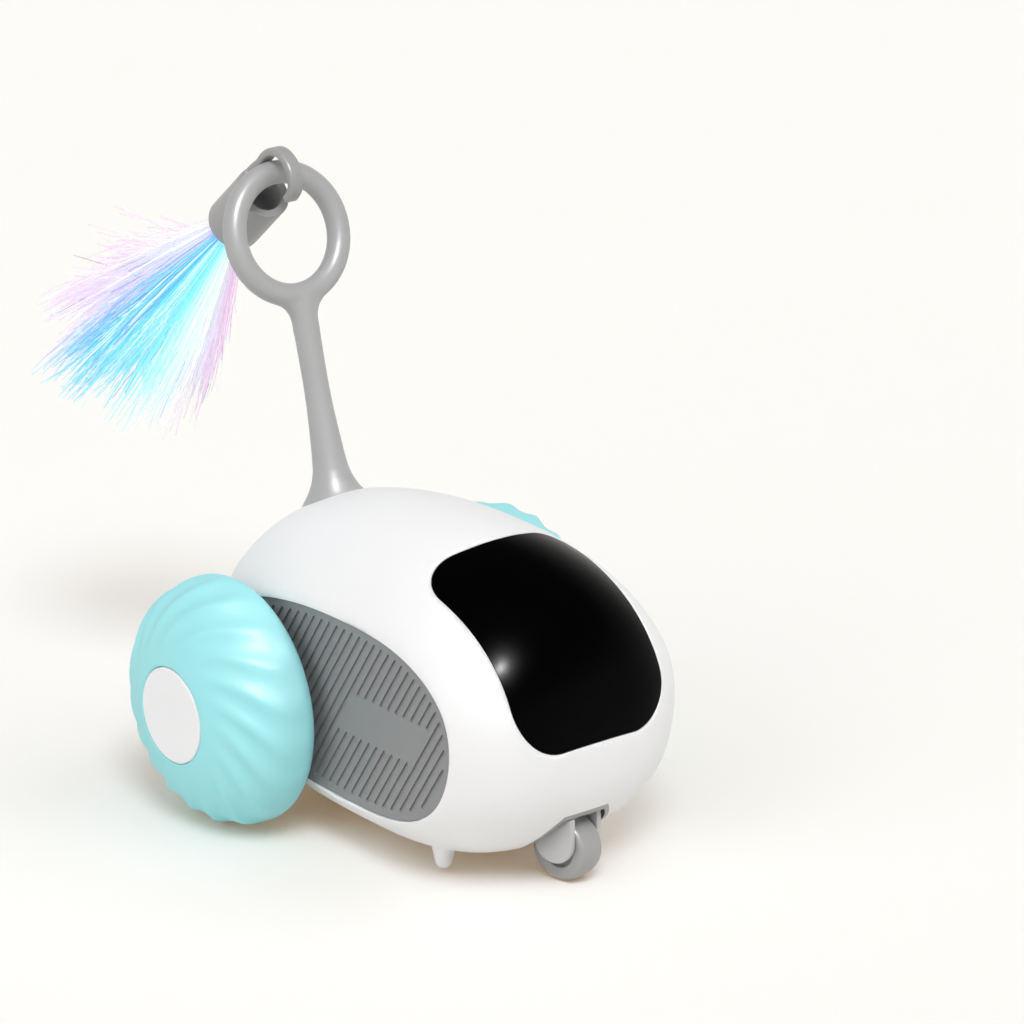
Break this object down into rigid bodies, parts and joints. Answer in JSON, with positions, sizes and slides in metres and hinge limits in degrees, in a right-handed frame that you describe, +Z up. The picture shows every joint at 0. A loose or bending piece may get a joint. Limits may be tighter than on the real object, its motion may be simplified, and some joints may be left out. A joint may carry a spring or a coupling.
{
  "type": "robotic cat toy car",
  "caption": "Egg-shaped robotic cat toy car with two domed wheels, a nose caster, a black visor and a soft ringed tail that holds a tassel teaser.",
  "frame": {"origin": "on the floor below the middle of the whole length, in the plane of symmetry", "axes": "+Z up, the nose points to -Y, the car's left wheel is at +X, the tail leans back to +Y"},
  "size_m": [0.1104, 0.1948, 0.1455],
  "materials": {
    "white_shell": "satin gloss white",
    "black_visor": "mirror gloss black",
    "grey_plastic": "satin grey",
    "light_grey_plastic": "satin light grey",
    "dark_plastic": "matt black",
    "cyan_tyre": "soft matt cyan",
    "white_cap": "satin white",
    "grey_silicone": "soft matt grey",
    "steel": "plain",
    "motor_can": "plain",
    "brass": "plain",
    "gear_plastic": "plain",
    "board_green": "solder mask",
    "battery_wrap": "film",
    "tassel_fibre": "iridescent film strands"
  },
  "bodies": {
    "chassis": {"body_shell": "white_shell", "base_cover": "white_shell", "visor": "black_visor", "caster_liner": "grey_plastic", "battery": "battery_wrap", "circuit_board": "board_green", "power_board": "board_green", "receiver_board": "board_green", "receiver_eye": "dark_plastic", "button_switch": "dark_plastic", "charge_port": "steel", "cover_screws": "steel", "gearbox_screws": "steel", "board_screws": "steel", "tail_stem": "grey_silicone", "tail_retainer": "light_grey_plastic", "left_side_panel": "grey_plastic", "left_axle_bush": "brass", "left_compound_pin": "steel", "left_motor": "motor_can", "left_gearbox_case": "dark_plastic", "right_side_panel": "grey_plastic", "right_axle_bush": "brass", "right_compound_pin": "steel", "right_motor": "motor_can", "right_gearbox_case": "dark_plastic"},
    "left_wheel": {"left_tyre": "cyan_tyre", "left_wheel_hub": "white_shell", "left_hub_cap": "white_cap", "left_wheel_axle": "steel", "left_output_gear": "gear_plastic"},
    "left_idler": {"left_compound_gear": "gear_plastic"},
    "left_rotor": {"left_motor_pinion": "brass", "left_motor_shaft": "steel"},
    "right_wheel": {"right_tyre": "cyan_tyre", "right_wheel_hub": "white_shell", "right_hub_cap": "white_cap", "right_wheel_axle": "steel", "right_output_gear": "gear_plastic"},
    "right_idler": {"right_compound_gear": "gear_plastic"},
    "right_rotor": {"right_motor_pinion": "brass", "right_motor_shaft": "steel"},
    "caster_yoke": {"caster_fork": "light_grey_plastic", "swivel_clip": "steel"},
    "caster_roller": {"caster_wheel": "grey_plastic", "caster_axle": "steel"},
    "button": {"power_button": "grey_plastic"},
    "tail_tip": {"tail_ring": "grey_silicone"},
    "teaser": {"teaser_hook": "grey_plastic", "tassel_ferrule": "steel", "tassel_fibres": "tassel_fibre"}
  },
  "joints": [
    {"name": "left_wheel_spin", "type": "hinge", "parent": "chassis", "child": "left_wheel", "pos_m": [0.025, -0.01176, 0.029], "axis": [1, 0, 0], "continuous": true},
    {"name": "left_idler_spin", "type": "hinge", "parent": "chassis", "child": "left_idler", "pos_m": [0.025, -0.02376, 0.029], "axis": [1, 0, 0], "continuous": true},
    {"name": "left_motor_spin", "type": "hinge", "parent": "chassis", "child": "left_rotor", "pos_m": [0.025, -0.03576, 0.029], "axis": [1, 0, 0], "continuous": true},
    {"name": "right_wheel_spin", "type": "hinge", "parent": "chassis", "child": "right_wheel", "pos_m": [-0.025, -0.01176, 0.029], "axis": [1, 0, 0], "continuous": true},
    {"name": "right_idler_spin", "type": "hinge", "parent": "chassis", "child": "right_idler", "pos_m": [-0.025, -0.02376, 0.029], "axis": [1, 0, 0], "continuous": true},
    {"name": "right_motor_spin", "type": "hinge", "parent": "chassis", "child": "right_rotor", "pos_m": [-0.025, -0.03576, 0.029], "axis": [1, 0, 0], "continuous": true},
    {"name": "caster_swivel", "type": "hinge", "parent": "chassis", "child": "caster_yoke", "pos_m": [0, -0.08496, 0.017], "axis": [0, 0, 1], "continuous": true},
    {"name": "caster_roll", "type": "hinge", "parent": "caster_yoke", "child": "caster_roller", "pos_m": [0.00024, -0.08593, 0.0076], "axis": [0.9703, 0.2419, 0], "continuous": true},
    {"name": "button_press", "type": "slide", "parent": "chassis", "child": "button", "axis": [0, -1, 0], "range_m": [0, 0.0008], "stiffness_N_per_m": 600, "springref_m": -0.001},
    {"name": "tail_bend", "type": "hinge", "parent": "chassis", "child": "tail_tip", "pos_m": [0, 0.0023, 0.07707], "axis": [1, 0, 0], "range_deg": [-25, 25], "stiffness_Nm_per_rad": 0.6, "deforming": ["tail_stem"]},
    {"name": "teaser_swing", "type": "hinge", "parent": "tail_tip", "child": "teaser", "pos_m": [0, 0.02172, 0.13908], "axis": [1, 0, 0], "range_deg": [-48, 70], "deforming": ["tassel_fibres"]}
  ],
  "couplings": [
    {"joint": "left_idler_spin", "follows": "left_wheel_spin", "ratio": -3},
    {"joint": "left_motor_spin", "follows": "left_wheel_spin", "ratio": 9},
    {"joint": "right_idler_spin", "follows": "right_wheel_spin", "ratio": -3},
    {"joint": "right_motor_spin", "follows": "right_wheel_spin", "ratio": 9}
  ]
}
